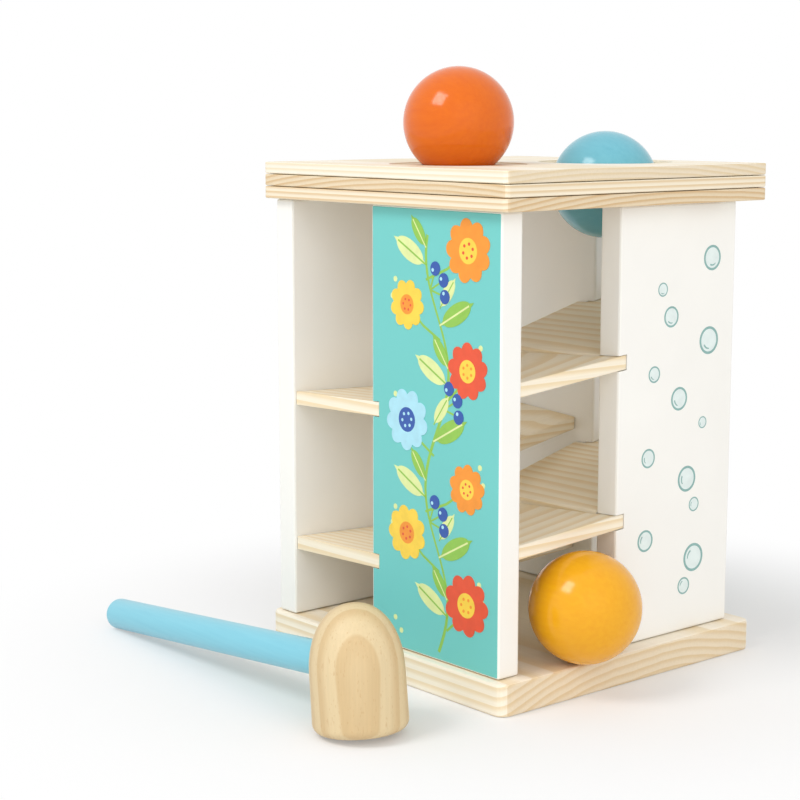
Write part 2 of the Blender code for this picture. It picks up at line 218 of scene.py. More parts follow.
# Upright panels
# Four boards of fine fibreboard, sprayed white with satin paint. Two of them also have a printed teal
# ground over the whole outer face, and keep their white edges.

WHITE_PAINT = "#F4F2EC"
TEAL_INK = "#6EC6C1"
GROUND_DEPTH = 0.15 * MM


def satin_paint(name, code, face=None):
    """Sprayed satin paint: a faint orange peel 1.5 mm wide. face is the direction of a teal outer face."""
    finish, tree, shader = new_finish(name)
    place = add(tree, "ShaderNodeTexCoord").outputs["Object"]
    peel = add(tree, "ShaderNodeTexNoise", {"Vector": place, "Scale": 1 / (1.5 * MM), "Detail": 2})
    cloud = add(tree, "ShaderNodeTexNoise", {"Vector": place, "Scale": 1 / (45 * MM), "Detail": 3})
    tone = add(
        tree,
        "ShaderNodeMapRange",
        {"Value": cloud.outputs["Fac"], "From Min": 0.3, "From Max": 0.7, "To Min": 0.975, "To Max": 1.01},
    )
    gloss = add(tree, "ShaderNodeMapRange", {"Value": cloud.outputs["Fac"], "To Min": 0.36, "To Max": 0.48})
    bump = add(
        tree,
        "ShaderNodeBump",
        {"Height": peel.outputs["Fac"], "Distance": 0.012 * MM, "Strength": 0.5},
    )
    paint = add(
        tree,
        "ShaderNodeMix",
        {0: 1.0, 6: srgb(code), 7: tone.outputs[0]},
        data_type="RGBA",
        blend_type="MULTIPLY",
    ).outputs[2]
    if face:
        direction, reach = face
        outward = add(tree, "ShaderNodeVectorMath", {0: place, 1: direction}, operation="DOT_PRODUCT")
        printed = add(
            tree,
            "ShaderNodeMath",
            {0: outward.outputs["Value"], 1: reach - GROUND_DEPTH},
            operation="GREATER_THAN",
        )
        ground = add(
            tree,
            "ShaderNodeMix",
            {0: 1.0, 6: srgb(TEAL_INK), 7: tone.outputs[0]},
            data_type="RGBA",
            blend_type="MULTIPLY",
        )
        paint = add(
            tree,
            "ShaderNodeMix",
            {0: printed.outputs[0], 6: paint, 7: ground.outputs[2]},
            data_type="RGBA",
        ).outputs[2]
    tree.links.new(paint, shader.inputs["Base Color"])
    tree.links.new(gloss.outputs[0], shader.inputs["Roughness"])
    tree.links.new(bump.outputs[0], shader.inputs["Normal"])
    return finish


white_paint = satin_paint("white_satin_paint", WHITE_PAINT)
dress("bubble_panel_right", white_paint)
dress("bubble_panel_left", white_paint)
front_reach = -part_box("picture_panel_front")[0].y
rear_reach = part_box("picture_panel_rear")[1].y
dress("picture_panel_front", satin_paint("front_picture_ground", WHITE_PAINT, ((0, -1, 0), front_reach)))
dress("picture_panel_rear", satin_paint("rear_picture_ground", WHITE_PAINT, ((0, 1, 0), rear_reach)))


# Climbing vine on the two picture panels
# A screen print in flat inks: a waving stem with leaves, round flowers and berries. It is drawn flat,
# as a film a few hundredths of a mm thick, and then set on the panel's outer face.

FILM = 0.03 * MM
FLOWER = 26 * MM
LEAF = 24 * MM
BERRY = 6.5 * MM
STEM_WIDTH = 1.6 * MM
NODE_STEP = 24 * MM
FIRST_NODE = 20 * MM
CROWN_ROOM = 30 * MM
STEM_SHIFT = 2 * MM
STEM_SWAY = 7 * MM
STEM_STEP = 4 * MM
FLOWER_INSET = 21 * MM
FLOWER_RISE = 7 * MM
BERRY_RISE = 14 * MM
# Reach and rise of the loose dots in mm, on a panel of the width that follows them.
SEED_DOTS = ((27, -7), (23, -12), (29, -14))
SEED_DOTS_WIDTH = 82 * MM


def screen_ink(name, code):
    """Satin ink printed through a screen: its density varies a little over 4 mm."""
    finish, tree, shader = new_finish(name)
    place = add(tree, "ShaderNodeTexCoord").outputs["Object"]
    density = add(tree, "ShaderNodeTexNoise", {"Vector": place, "Scale": 1 / (4 * MM), "Detail": 4})
    tone = add(
        tree,
        "ShaderNodeMapRange",
        {"Value": density.outputs["Fac"], "From Min": 0.3, "From Max": 0.7, "To Min": 0.94, "To Max": 1.04},
    )
    colour = add(
        tree,
        "ShaderNodeMix",
        {0: 1.0, 6: srgb(code), 7: tone.outputs[0]},
        data_type="RGBA",
        blend_type="MULTIPLY",
    )
    tree.links.new(colour.outputs[2], shader.inputs["Base Color"])
    shader.inputs["Roughness"].default_value = 0.4
    return finish


cream_ink = screen_ink("cream_green_ink", "#DDE7A0")
green_ink = screen_ink("leaf_green_ink", "#8DC04C")
yellow_ink = screen_ink("yellow_ink", "#F6CF45")
orange_ink = screen_ink("orange_ink", "#F0932B")
red_ink = screen_ink("red_ink", "#E2522F")
navy_ink = screen_ink("navy_ink", "#2C55A5")
sky_ink = screen_ink("sky_blue_ink", "#A9DCEB")


def pick(piece, test, kind="vertices"):
    """Enters edit mode with only those points, or those polygons, selected that pass the test."""
    bpy.context.view_layer.objects.active = piece
    bpy.context.tool_settings.mesh_select_mode = (kind == "vertices", False, kind == "polygons")
    bpy.ops.object.mode_set(mode="EDIT")
    bpy.ops.mesh.select_all(action="DESELECT")
    bpy.ops.object.mode_set(mode="OBJECT")
    for item in getattr(piece.data, kind):
        item.select = test(item)
    bpy.ops.object.mode_set(mode="EDIT")


def object_mode():
    bpy.ops.object.mode_set(mode="OBJECT")


def join(pieces):
    """Joins pieces to one and puts its place into its mesh."""
    bpy.ops.object.select_all(action="DESELECT")
    for piece in pieces:
        piece.select_set(True)
    bpy.context.view_layer.objects.active = pieces[0]
    bpy.ops.object.transform_apply(location=True, rotation=True, scale=True)
    if len(pieces) > 1:
        bpy.ops.object.join()
    return pieces[0]


def ink_disc(diameter, ink, layer, x=0.0, y=0.0, stretch=1.0, sides=28):
    """A round film of ink; a higher layer stands a little prouder, so that it covers the lower ones."""
    height = FILM * (1 + layer)
    bpy.ops.mesh.primitive_cylinder_add(
        vertices=sides, radius=diameter / 2, depth=height, location=(x, y, height / 2 - FILM / 2)
    )
    disc = bpy.context.object
    disc.scale.y = stretch
    disc.data.materials.append(ink)
    return join([disc])


def stamp(motif, x, y, turn=0.0, size=1.0):
    """A copy of a motif with its own mesh."""
    copy = motif.copy()
    copy.data = motif.data.copy()
    bpy.context.scene.collection.objects.link(copy)
    copy.matrix_world = (
        Matrix.Translation((x, y, 0)) @ Matrix.Rotation(turn, 4, "Z") @ Matrix.Diagonal((size, size, 1, 1))
    )
    return copy


def ribbon(points, width, ink, layer):
    """A line of ink through points, extruded from one to the next."""
    height = FILM * (1 + layer)
    bpy.ops.mesh.primitive_cube_add(size=1)
    line = bpy.context.object
    line.data.materials.append(ink)
    start, second = Vector((*points[0], 0)), Vector((*points[1], 0))
    heading = math.atan2((second - start).y, (second - start).x) - math.pi / 2
    line.scale = (width, width / 4, height)
    line.rotation_euler.z = heading
    line.location = start + Vector((0, 0, height / 2 - FILM / 2))
    join([line])
    toward = (second - start).normalized()
    pick(line, lambda face: face.normal.dot(toward) > 0.99, "polygons")
    for (x0, y0), (x1, y1) in zip(points, points[1:]):
        bpy.ops.mesh.extrude_region_move(TRANSFORM_OT_translate={"value": (x1 - x0, y1 - y0, 0)})
    object_mode()
    return line


def leaf_motif(blade_ink, rib_ink, layer):
    """A leaf that points along +X from its stalk at the origin, with a midrib."""
    blade = ink_disc(LEAF * 0.8, blade_ink, layer, x=LEAF * 0.5, stretch=0.46)
    tip = max(point.co.x for point in blade.data.vertices)
    root = min(point.co.x for point in blade.data.vertices)
    pick(blade, lambda point: point.co.x > tip - 0.1 * MM)
    bpy.ops.transform.translate(value=(LEAF * 0.1, 0, 0))
    object_mode()
    pick(blade, lambda point: point.co.x < root + 0.1 * MM)
    bpy.ops.transform.translate(value=(-LEAF * 0.1, 0, 0))
    object_mode()
    rib = ribbon([(0, 0), (LEAF * 0.4, 0), (LEAF * 0.86, 0)], 0.8 * MM, rib_ink, layer + 1)
    return join([blade, rib])


def flower_motif(petal_ink, heart_ink, seed_ink):
    """Nine round petals in one scalloped outline, about a heart that is dotted with seeds."""
    petals, points_each = 9, 12
    bloom = ink_disc(FLOWER, petal_ink, 6, sides=petals * points_each)

    def from_petal_middle(point):
        turn = math.atan2(point.co.y, point.co.x) / (2 * math.pi)
        place = round(turn * petals * points_each) % points_each
        return min(place, points_each - place)

    for place in range(1, points_each // 2 + 1):
        inwards = 1 - 0.19 * (2 * place / points_each) ** 2
        pick(bloom, lambda point: from_petal_middle(point) == place)
        bpy.ops.transform.resize(value=(inwards, inwards, 1))
        object_mode()
    heart = ink_disc(FLOWER * 0.4, heart_ink, 7)
    seed = ink_disc(FLOWER * 0.055, seed_ink, 8, x=FLOWER * 0.11, sides=10)
    seeds = [seed] + [stamp(seed, 0, 0, 2 * math.pi * i / 6) for i in range(1, 6)]
    return join([bloom, heart, *seeds])


def berry_motif():
    """Three berries, each with a light spot, on one short forked stalk."""
    berry = join(
        [
            ink_disc(BERRY, navy_ink, 6.5, x=BERRY * 1.6),
            ink_disc(BERRY * 0.26, sky_ink, 7.5, x=BERRY * 1.42, y=BERRY * 0.2, sides=12),
        ]
    )
    turns = [math.radians(angle) for angle in (0, -42, 42)]
    berries = [berry] + [stamp(berry, 0, 0, turn) for turn in turns[1:]]
    stalks = []
    for layer, turn in zip((1.5, 2.0, 2.5), turns):
        end = (BERRY * 1.2 * math.cos(turn), BERRY * 1.2 * math.sin(turn))
        stalks.append(ribbon([(0, 0), end], 0.9 * MM, green_ink, layer))
    return join([*berries, *stalks])


leaves = [leaf_motif(cream_ink, green_ink, 3), leaf_motif(green_ink, cream_ink, 4.5)]
flowers = [
    flower_motif(red_ink, yellow_ink, orange_ink),
    flower_motif(yellow_ink, orange_ink, red_ink),
    flower_motif(orange_ink, yellow_ink, red_ink),
    flower_motif(sky_ink, navy_ink, sky_ink),
]
berries = berry_motif()
seed_dot = ink_disc(2.4 * MM, cream_ink, 1, sides=16)


def climbing_vine(name, node, first_side, first_flower):
    """The print of one panel, flat, with its lower left corner at the origin."""
    lo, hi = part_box(node)
    width, height = max(hi.x - lo.x, hi.y - lo.y), hi.z - lo.z
    middle = width / 2 + STEM_SHIFT

    def stem_at(y):
        return middle + first_side * STEM_SWAY * math.sin(2 * math.pi * y / (4 * NODE_STEP))

    rises = [i * STEM_STEP for i in range(1, int(height / STEM_STEP) - 1)]
    marks = [ribbon([(stem_at(y), y) for y in rises], STEM_WIDTH, green_ink, 0)]
    count = int((height - CROWN_ROOM) / NODE_STEP) + 1
    for i in range(count):
        y = FIRST_NODE + i * NODE_STEP
        side = first_side * (-1) ** i
        x = stem_at(y)
        bloom = (middle + side * (width / 2 - FLOWER_INSET), y + FLOWER_RISE)
        bend = ((x + bloom[0]) / 2, y - 1 * MM)
        marks.append(ribbon([(x, y - 6 * MM), bend, bloom], 1.1 * MM, green_ink, 1))
        flower = flowers[(i + first_flower) % len(flowers)]
        marks.append(stamp(flower, *bloom, turn=0.4 * i, size=1.0 - 0.1 * (i % 3)))
        away = math.pi / 2 - side * math.radians(-62)
        marks.append(stamp(leaves[i % 2], x, y, away, 0.95))
        marks.append(stamp(leaves[(i + 1) % 2], x, y + 7 * MM, away + side * math.radians(-26), 0.66))
        if i % 2:
            marks.append(stamp(berries, stem_at(y + BERRY_RISE), y + BERRY_RISE, away, 0.9))
        for reach, rise in SEED_DOTS:
            aside = side * reach * MM * width / SEED_DOTS_WIDTH
            marks.append(stamp(seed_dot, middle - aside, y + rise * MM))
    sheet = join(marks)
    sheet.name = name
    return sheet


def set_on_face(sheet, node, turn):
    """Stands a flat print up on a panel's outer face. turn is the way that the face looks, in degrees."""
    lo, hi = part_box(node)
    corner = {0: (lo.x, lo.y), 90: (hi.x, lo.y), 180: (hi.x, hi.y), 270: (lo.x, hi.y)}[turn]
    sheet.rotation_euler = (math.pi / 2, 0, math.radians(turn))
    sheet.location = (*corner, lo.z)
    join([sheet])
    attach(sheet, "tower")


front_vine = climbing_vine("vine_print_front", "picture_panel_front", 1, 0)
set_on_face(front_vine, "picture_panel_front", 0)
rear_vine = climbing_vine("vine_print_rear", "picture_panel_rear", -1, 2)
set_on_face(rear_vine, "picture_panel_rear", 180)
for motif in (*leaves, *flowers, berries, seed_dot):
    bpy.data.objects.remove(motif)


# Bubbles on the two white panels
# Outlined circles in two tones of blue-green ink, printed on the white paint. They rise in a wave and
# each has a short curved glint inside.

outline_ink = screen_ink("bubble_outline_ink", "#86AEA9")
wash_ink = screen_ink("bubble_wash_ink", "#DFEAE7")
BUBBLE = 13 * MM
BUBBLE_LINE = 1.2 * MM
BUBBLE_COUNT = 13
BUBBLES_START = 20 * MM
BUBBLES_ROOM = 44 * MM


def circle_line(diameter, line, ink, layer):
    """A closed ring of ink, from a disc with both of its faces inset and bridged."""
    ring = ink_disc(diameter, ink, layer, sides=40)
    pick(ring, lambda face: abs(face.normal.z) > 0.9, "polygons")
    bpy.ops.mesh.inset(thickness=line, depth=0)
    bpy.ops.mesh.bridge_edge_loops()
    object_mode()
    return ring


def glint_line(radius, ink, layer):
    """A short arc of ink at the upper left."""
    turns = [math.radians(a) for a in range(110, 171, 12)]
    return ribbon([(radius * math.cos(a), radius * math.sin(a)) for a in turns], 0.8 * MM, ink, layer)


bubble = join(
    [
        circle_line(BUBBLE, BUBBLE_LINE, outline_ink, 1),
        ink_disc(BUBBLE - BUBBLE_LINE, wash_ink, 0, sides=40),
        glint_line(BUBBLE * 0.29, outline_ink, 1),
    ]
)


def rising_bubbles(name, node, phase):
    """The print of one panel, flat: circles of mixed sizes that sway from side to side as they rise."""
    lo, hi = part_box(node)
    width, height = max(hi.x - lo.x, hi.y - lo.y), hi.z - lo.z
    marks = []
    for i in range(BUBBLE_COUNT):
        y = BUBBLES_START + (height - BUBBLES_ROOM) * i / (BUBBLE_COUNT - 1)
        x = width * (0.52 + 0.27 * math.sin(phase + 2.2 * i))
        size = 0.4 + 0.62 * ((0.618 * i + phase) % 1)
        marks.append(stamp(bubble, x, y, turn=0.2 * i, size=size))
    sheet = join(marks)
    sheet.name = name
    return sheet


right_bubbles = rising_bubbles("bubble_print_right", "bubble_panel_right", 0.3)
set_on_face(right_bubbles, "bubble_panel_right", 90)
left_bubbles = rising_bubbles("bubble_print_left", "bubble_panel_left", 1.9)
set_on_face(left_bubbles, "bubble_panel_left", 270)
bpy.data.objects.remove(bubble)


# Base screws
# Eight countersunk cross-head wood screws from below, two into each panel.
# Bright zinc plating: a cool metal with small cloudy changes in its gloss.

zinc, tree, shader = new_finish("bright_zinc_plating")
place = add(tree, "ShaderNodeTexCoord").outputs["Object"]
cloud = add(tree, "ShaderNodeTexNoise", {"Vector": place, "Scale": 1 / (1.2 * MM), "Detail": 4})
gloss = add(tree, "ShaderNodeMapRange", {"Value": cloud.outputs["Fac"], "To Min": 0.2, "To Max": 0.5})
tint = add(
    tree,
    "ShaderNodeMix",
    {0: cloud.outputs["Fac"], 6: srgb("#D3D5D6"), 7: srgb("#BFC3C4")},
    data_type="RGBA",
)
tree.links.new(gloss.outputs[0], shader.inputs["Roughness"])
tree.links.new(tint.outputs[2], shader.inputs["Base Color"])
shader.inputs["Metallic"].default_value = 1.0
for number in range(1, 9):
    dress(f"base_screw_{number}", zinc)


# Ramps and leaning board
# Eight thin pine boards, each let into a notch in its panel's edge and glued, and one more that leans
# in the corner over the base. Every board is cut from another place, so each has its own heart line.

RAMP_PALE, RAMP_DARK = "#F6EBD5", "#ECD7B0"
RAMP_RING = 3.4
RAMP_GRAIN = {"right_front": ALONG_Y, "left_front": ALONG_X, "left_rear": ALONG_Y, "right_rear": ALONG_X}
LEANING_PALE, LEANING_DARK = "#F6E9D0", "#E6CB9C"
LEANING_HEART = (5, -30, 22)

ramps = sorted(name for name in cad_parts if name.startswith("ramp_"))
for number, name in enumerate(ramps):
    way = RAMP_GRAIN[name.split("_", 2)[2]]
    heart = (37 * number, 21 - 17 * (number % 4), 26 + 9 * (number % 3))
    dress(name, sanded_wood(f"pine_of_{name}", RAMP_PALE, RAMP_DARK, way, heart, RAMP_RING))
leaning_pine = sanded_wood(
    "leaning_board_pine", LEANING_PALE, LEANING_DARK, ALONG_Y, LEANING_HEART, RAMP_RING
)
dress("exit_deflector", leaning_pine)


# Deck
# Three thin boards glued in a stack, with the grain of the middle one crosswise, so end grain shows
# on it at the sides. Each board gives its pale and dark tone, its grain's way and its heart's shift.

DECK_RINGS = {"ring": 2.2, "wander": 1.2, "half_length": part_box("deck_top_layer")[1].x / MM}
HEART_DOWN = 420
DECK_PLIES = {
    "bottom": ("#EEE1C8", "#DCC097", ALONG_X, -25),
    "middle": ("#F0E4CC", "#DFC59D", ALONG_Y, 30),
    "top": ("#F2EAD9", "#EADBBC", ALONG_X, 18),
}
for ply, (pale, dark, way, shift) in DECK_PLIES.items():
    heart = (0, shift, HEART_DOWN)
    dress(f"deck_{ply}_layer", sanded_wood(f"deck_{ply}_ply", pale, dark, way, heart, **DECK_RINGS))


# Dowels
# Beech pins inside the panels and the deck, out of sight once the tower is glued.
# Beech has a fine even grain with short dark flecks about 2.5 mm long.

BEECH_PALE, BEECH_DARK, BEECH_FLECK = "#DBC59B", "#D0B486", "#B98A57"
FLECK_WIDTH = 0.7


def turned_beech(name, turn, heart, ring):
    """Fine sanded beech: pale, with faint rings and short dark flecks along the grain."""
    finish = sanded_wood(name, BEECH_PALE, BEECH_DARK, turn, heart, ring, wander=2)
    tree = finish.node_tree
    shader = tree.nodes["Principled BSDF"]
    plain = shader.inputs["Base Color"].links[0].from_socket
    grain = next(node for node in tree.nodes if node.type == "MAPPING").outputs[0]
    # Real flecks are 0.2 mm wide. They are drawn wider, so that they show in the render.
    along = add(tree, "ShaderNodeVectorMath", {0: grain, 1: (0.28, 1, 1)}, operation="MULTIPLY")
    speckle = add(
        tree,
        "ShaderNodeTexNoise",
        {"Vector": along.outputs[0], "Scale": 1 / FLECK_WIDTH, "Detail": 1},
    )
    fleck = add(
        tree,
        "ShaderNodeMapRange",
        {"Value": speckle.outputs["Fac"], "From Min": 0.64, "From Max": 0.72, "To Max": 0.28},
    )
    flecked = add(
        tree,
        "ShaderNodeMix",
        {0: fleck.outputs[0], 6: plain, 7: srgb(BEECH_FLECK)},
        data_type="RGBA",
    )
    tree.links.new(flecked.outputs[2], shader.inputs["Base Color"])
    return finish


UPRIGHT = (0, 90, 0)
dowel_beech = turned_beech("dowel_beech", UPRIGHT, heart=(0, 8, 8), ring=4.5)
for number in range(1, 9):
    dress(f"deck_dowel_{number}", dowel_beech)


# Elastic rings
# Two natural latex rings, moulded, set into the deck's top board round the holes. The orange ball rests
# on the lip of one. The blue ball is half through the other, which is stretched round it.

LIP_ROUND = 0.9 * MM
RESTING_LIP = 14.9 * MM
PASSED_UPPER_LIP = 21.7 * MM
PASSED_LOWER_LIP = 23.3 * MM

latex, tree, shader = new_finish("natural_latex")
place = add(tree, "ShaderNodeTexCoord").outputs["Object"]
bloom = add(tree, "ShaderNodeTexNoise", {"Vector": place, "Scale": 1 / (3 * MM), "Detail": 5})
skin = add(
    tree,
    "ShaderNodeMix",
    {0: bloom.outputs["Fac"], 6: srgb("#E8DCC0"), 7: srgb("#D5C49F")},
    data_type="RGBA",
)
bump = add(tree, "ShaderNodeBump", {"Height": bloom.outputs["Fac"], "Distance": 0.05 * MM, "Strength": 0.5})
tree.links.new(skin.outputs[2], shader.inputs["Base Color"])
tree.links.new(bump.outputs[0], shader.inputs["Normal"])
shader.inputs["Roughness"].default_value = 0.62


def elastic_ring(name, node, upper_lip, lower_lip):
    """A moulded ring in its seat, with lips of the two radii given."""
    lo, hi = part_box(node)
    outer = (hi.x - lo.x) / 2
    bpy.ops.mesh.primitive_cylinder_add(vertices=80, radius=outer, depth=hi.z - lo.z)
    ring = bpy.context.object
    ring.name = name
    pick(ring, lambda face: abs(face.normal.z) > 0.9, "polygons")
    bpy.ops.mesh.inset(thickness=outer - upper_lip, depth=0)
    bpy.ops.mesh.bridge_edge_loops()
    object_mode()
    pick(ring, lambda point: point.co.z < 0 and point.co.xy.length < outer - MM)
    bpy.ops.transform.resize(value=(lower_lip / upper_lip, lower_lip / upper_lip, 1))
    object_mode()
    ring.location = (lo + hi) / 2
    join([ring])
    rounding = ring.modifiers.new("rounded lips", "BEVEL")
    rounding.width = LIP_ROUND
    rounding.segments = 4
    rounding.limit_method = "ANGLE"
    bpy.ops.object.modifier_apply(modifier=rounding.name)
    bpy.ops.object.shade_smooth_by_angle(angle=math.radians(35))
    ring.data.materials.append(latex)
    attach(ring, "tower")
    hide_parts(node)


elastic_ring("orange_ring_latex", "orange_ball_ring", RESTING_LIP, RESTING_LIP)
elastic_ring("blue_ring_latex", "blue_ball_ring", PASSED_UPPER_LIP, PASSED_LOWER_LIP)


# Balls
# Turned hardwood balls, dipped in coloured gloss lacquer. The lacquer is clear enough that a little of
# the wood's grain shows as faint streaks.

BALL_CUTS = 31


def gloss_lacquer(name, code, streak_code, centre, tilt):
    """Coloured gloss lacquer over wood with streaks 2 mm wide. tilt turns the grain, in radians."""
    finish, tree, shader = new_finish(name)
    place = add(tree, "ShaderNodeTexCoord").outputs["Object"]
    grain = add(
        tree,
        "ShaderNodeMapping",
        {
            "Vector": place,
            "Location": [-value / MM for value in centre],
            "Scale": (1 / MM, 1 / MM, 1 / MM),
        },
    )
    turned = add(
        tree,
        "ShaderNodeMapping",
        {"Vector": grain.outputs[0], "Rotation": tilt, "Scale": (0.12, 1, 1)},
    )
    streaks = add(
        tree,
        "ShaderNodeTexNoise",
        {"Vector": turned.outputs[0], "Scale": 1 / 2, "Detail": 3, "Roughness": 0.6},
    )
    strength = add(
        tree,
        "ShaderNodeMapRange",
        {"Value": streaks.outputs["Fac"], "From Min": 0.35, "From Max": 0.75, "To Max": 0.5},
    )
    colour = add(
        tree,
        "ShaderNodeMix",
        {0: strength.outputs[0], 6: srgb(code), 7: srgb(streak_code)},
        data_type="RGBA",
    )
    peel = add(tree, "ShaderNodeTexNoise", {"Vector": grain.outputs[0], "Scale": 1 / 4, "Detail": 1})
    bump = add(
        tree,
        "ShaderNodeBump",
        {"Height": peel.outputs["Fac"], "Distance": 0.03 * MM, "Strength": 0.4},
    )
    tree.links.new(colour.outputs[2], shader.inputs["Base Color"])
    tree.links.new(bump.outputs[0], shader.inputs["Normal"])
    shader.inputs["Roughness"].default_value = 0.15
    shader.inputs["Specular IOR Level"].default_value = 0.4
    return finish


def lacquered_ball(name, node, code, streak_code, tilt):
    """A cube, divided and swelled to a ball of the CAD ball's size."""
    lo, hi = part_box(node)
    centre, radius = (lo + hi) / 2, (hi.z - lo.z) / 2
    bpy.ops.mesh.primitive_cube_add(size=radius)
    ball = bpy.context.object
    ball.name = name
    bpy.ops.object.mode_set(mode="EDIT")
    bpy.ops.mesh.subdivide(number_cuts=BALL_CUTS)
    object_mode()
    swell = ball.modifiers.new("swell", "CAST")
    swell.factor = 1.0
    swell.use_radius_as_size = False
    swell.size = radius
    bpy.ops.object.modifier_apply(modifier=swell.name)
    bpy.ops.object.shade_smooth()
    ball.location = centre
    join([ball])
    ball.data.materials.append(gloss_lacquer(name + "_lacquer", code, streak_code, centre, tilt))
    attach(ball, node)
    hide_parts(node)


lacquered_ball("orange_wood_ball", "orange_ball", "#DB6800", "#D05900", (0.3, 0.9, 0.2))
lacquered_ball("blue_wood_ball", "blue_ball", "#6EB4C4", "#5EA7BA", (0.8, 0.2, 1.0))
lacquered_ball("yellow_wood_ball", "yellow_ball", "#E8A614", "#E09608", (1.2, 0.5, 0.4))


# Hammer
# A turned beech head with a flat striking face and a domed top, and a dowel handle with light blue
# paint, glued into a bored socket. It stands on its face, tipped until the handle's end meets the table.

FACE_RADIUS = 19 * MM
FACE_ROUND = 4 * MM
SHOULDER_RADIUS = 18.75 * MM
SHOULDER_HEIGHT = 24 * MM
HEAD_HEIGHT = 50 * MM
HANDLE_RADIUS = 7 * MM
HANDLE_HEIGHT = 25 * MM
HANDLE_REACH = 190 * MM
HANDLE_END_ROUND = 3 * MM
SOCKET_PAST_AXIS = 5 * MM
SOCKET_GAP = 0.3 * MM
HAMMER_PLACE = (53.7 * MM, -130.2 * MM)
HAMMER_TURN = math.radians(-2.6)
DOME_STEPS = 16
# The tree's heart lies 56 mm in front of the head's axis, and the grain leans back by 8 degrees, so one
# tall arch of grain shows at the front.
HEAD_GRAIN = (5.1, 96.2, 0)
HEAD_HEART = (0, 164.9, 95.1)
HEAD_RING = 8

face_edge = FACE_RADIUS - FACE_ROUND
hammer_tip = math.atan2(HANDLE_HEIGHT - HANDLE_RADIUS, HANDLE_REACH - HANDLE_END_ROUND - face_edge)
stand = Matrix.Translation((*HAMMER_PLACE, 0))
turn_about = Matrix.Rotation(HAMMER_TURN, 4, "Z")
pivot = Matrix.Translation((-face_edge, 0, 0))
lean = Matrix.Rotation(-hammer_tip, 4, "Y")
hammer_frame = stand @ turn_about @ pivot @ lean @ pivot.inverted()


def rod(radius, start, end, sides):
    """A round bar in the hammer's own frame, along -X at the handle's height."""
    bpy.ops.mesh.primitive_cylinder_add(
        vertices=sides,
        radius=radius,
        depth=end - start,
        location=(-(start + end) / 2, 0, HANDLE_HEIGHT),
        rotation=(0, -math.pi / 2, 0),
    )
    return join([bpy.context.object])


def lay_in_place(piece):
    """Moves a piece from the hammer's own frame to its place on the table."""
    piece.matrix_world = hammer_frame
    join([piece])


bpy.ops.mesh.primitive_cylinder_add(
    vertices=96, radius=FACE_RADIUS, depth=SHOULDER_HEIGHT, location=(0, 0, SHOULDER_HEIGHT / 2)
)
head = join([bpy.context.object])
head.name = "hammer_head_beech"
pick(head, lambda face: face.normal.z > 0.9, "polygons")
bpy.ops.transform.resize(value=(SHOULDER_RADIUS / FACE_RADIUS, SHOULDER_RADIUS / FACE_RADIUS, 1))
dome = [math.pi / 2 * i / DOME_STEPS for i in range(DOME_STEPS)]
for low, high in zip(dome, dome[1:]):
    rise = (HEAD_HEIGHT - SHOULDER_HEIGHT) * (math.sin(high) - math.sin(low))
    shrink = (math.cos(high) / math.cos(low)) ** 0.9
    bpy.ops.mesh.extrude_region_move(TRANSFORM_OT_translate={"value": (0, 0, rise)})
    bpy.ops.transform.resize(value=(shrink, shrink, 1))
bpy.ops.mesh.poke(offset=(HEAD_HEIGHT - SHOULDER_HEIGHT) * (1 - math.sin(dome[-1])))
object_mode()
pick(head, lambda point: point.co.z < 0.1 * MM)
bpy.ops.mesh.bevel(offset=FACE_ROUND, segments=6, affect="EDGES")
object_mode()
bore = rod(HANDLE_RADIUS + SOCKET_GAP, -SOCKET_PAST_AXIS - SOCKET_GAP, FACE_RADIUS * 2, 64)
socket = head.modifiers.new("socket", "BOOLEAN")
socket.operation = "DIFFERENCE"
socket.object = bore
bpy.context.view_layer.objects.active = head
bpy.ops.object.modifier_apply(modifier=socket.name)
bpy.data.objects.remove(bore)
bpy.ops.object.select_all(action="DESELECT")
head.select_set(True)
bpy.ops.object.shade_smooth_by_angle(angle=math.radians(40))
lay_in_place(head)
head.data.materials.append(turned_beech("hammer_beech", HEAD_GRAIN, HEAD_HEART, HEAD_RING))
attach(head, "hammer")
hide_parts("hammer_head")

handle = rod(HANDLE_RADIUS, -SOCKET_PAST_AXIS, HANDLE_REACH, 56)
handle.name = "hammer_handle_painted"
pick(handle, lambda point: point.co.x < -HANDLE_REACH + 0.1 * MM)
bpy.ops.mesh.bevel(offset=HANDLE_END_ROUND, segments=5, affect="EDGES")
object_mode()
bpy.ops.object.shade_smooth_by_angle(angle=math.radians(40))
lay_in_place(handle)

blue_paint, tree, shader = new_finish("light_blue_satin_paint")
place = add(tree, "ShaderNodeTexCoord").outputs["Object"]
along = add(
    tree,
    "ShaderNodeMapping",
    {"Vector": place, "Rotation": (0, 0, -HAMMER_TURN), "Scale": (1 / MM, 1 / MM, 1 / MM)},
)
drawn_out = add(tree, "ShaderNodeVectorMath", {0: along.outputs[0], 1: (0.04, 1, 1)}, operation="MULTIPLY")
streaks = add(tree, "ShaderNodeTexNoise", {"Vector": drawn_out.outputs[0], "Scale": 1 / 1.6, "Detail": 4})
colour = add(
    tree,
    "ShaderNodeMix",
    {0: streaks.outputs["Fac"], 6: srgb("#83CADB"), 7: srgb("#73BED2")},
    data_type="RGBA",
)
bump = add(
    tree,
    "ShaderNodeBump",
    {"Height": streaks.outputs["Fac"], "Distance": 0.03 * MM, "Strength": 0.5},
)
tree.links.new(colour.outputs[2], shader.inputs["Base Color"])
tree.links.new(bump.outputs[0], shader.inputs["Normal"])
shader.inputs["Roughness"].default_value = 0.3
handle.data.materials.append(blue_paint)
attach(handle, "hammer")
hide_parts("hammer_handle")


# Studio
# A white table and a white surround, one large soft lamp at the upper left, as from a window, and a
# broad weak one at the right. The camera looks at the corner between the picture and the way out.

